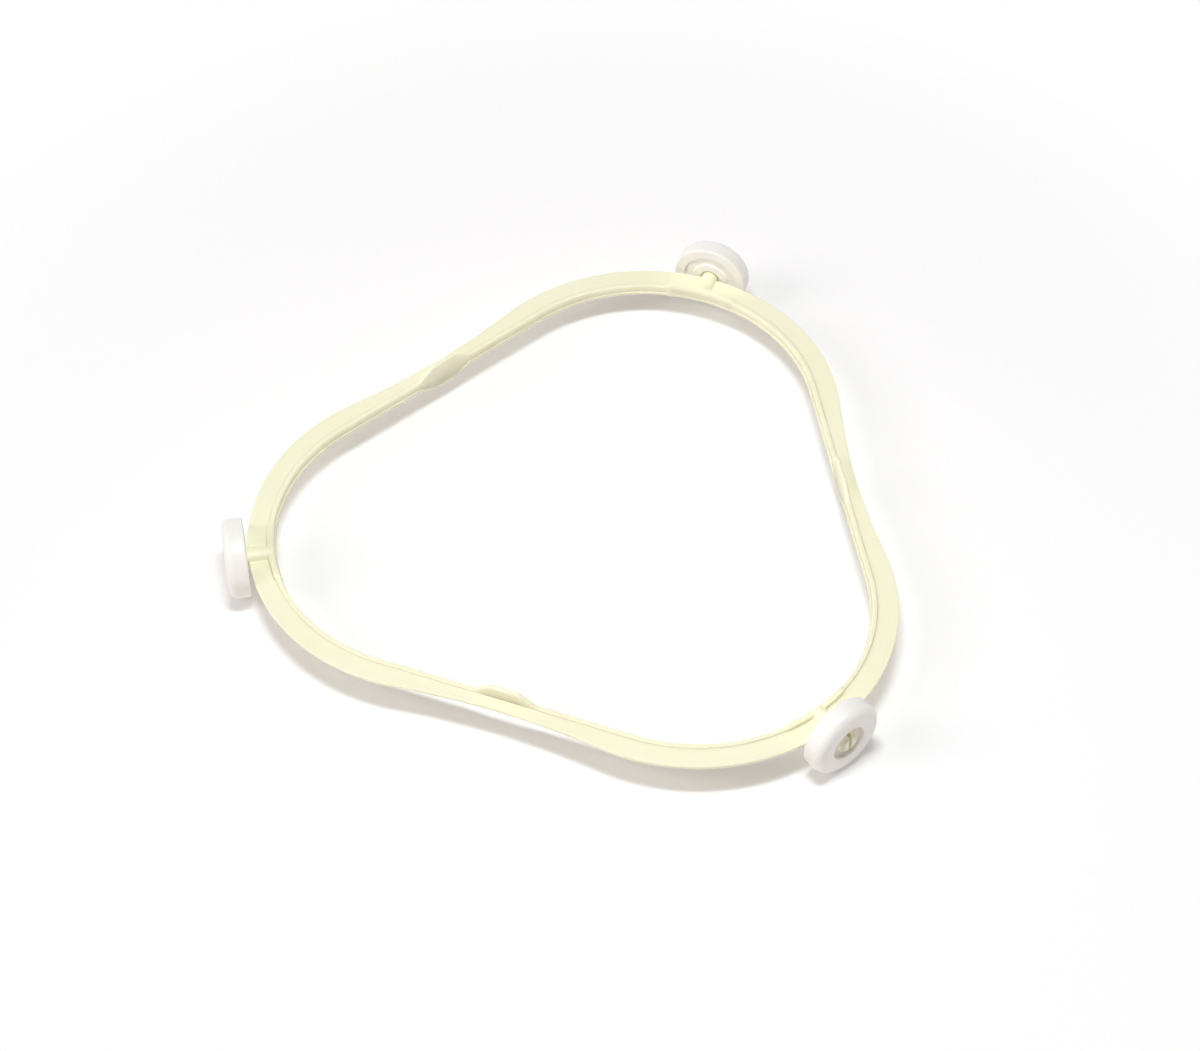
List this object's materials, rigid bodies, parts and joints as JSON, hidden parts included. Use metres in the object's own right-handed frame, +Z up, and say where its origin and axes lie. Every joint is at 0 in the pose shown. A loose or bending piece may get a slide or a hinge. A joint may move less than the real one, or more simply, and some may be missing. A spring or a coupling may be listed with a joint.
{
  "type": "microwave roller ring",
  "caption": "Lobed moulded ring with a free-spinning roller on a stub axle at each lobe; it lies under a microwave oven's glass tray and lets the tray turn.",
  "frame": {"origin": "centre of the ring, on the plane that the rollers stand on", "axes": "+Z up, away from that plane and towards the tray; +Y from the centre to the first roller"},
  "size_m": [0.1554, 0.1484, 0.0182],
  "materials": {
    "ring_plastic": "satin moulded cream plastic",
    "roller_plastic": "smooth moulded white plastic"
  },
  "bodies": {
    "ring": {"roller_ring": "ring_plastic"},
    "wheel_1": {"roller_1": "roller_plastic"},
    "wheel_2": {"roller_2": "roller_plastic"},
    "wheel_3": {"roller_3": "roller_plastic"}
  },
  "joints": [
    {"name": "roller_1_spin", "type": "hinge", "parent": "ring", "child": "wheel_1", "pos_m": [0, 0.0828, 0.0091], "axis": [0, 1, 0], "continuous": true},
    {"name": "roller_2_spin", "type": "hinge", "parent": "ring", "child": "wheel_2", "pos_m": [-0.07171, -0.0414, 0.0091], "axis": [-0.866, -0.5, 0], "continuous": true},
    {"name": "roller_3_spin", "type": "hinge", "parent": "ring", "child": "wheel_3", "pos_m": [0.07171, -0.0414, 0.0091], "axis": [0.866, -0.5, 0], "continuous": true}
  ]
}
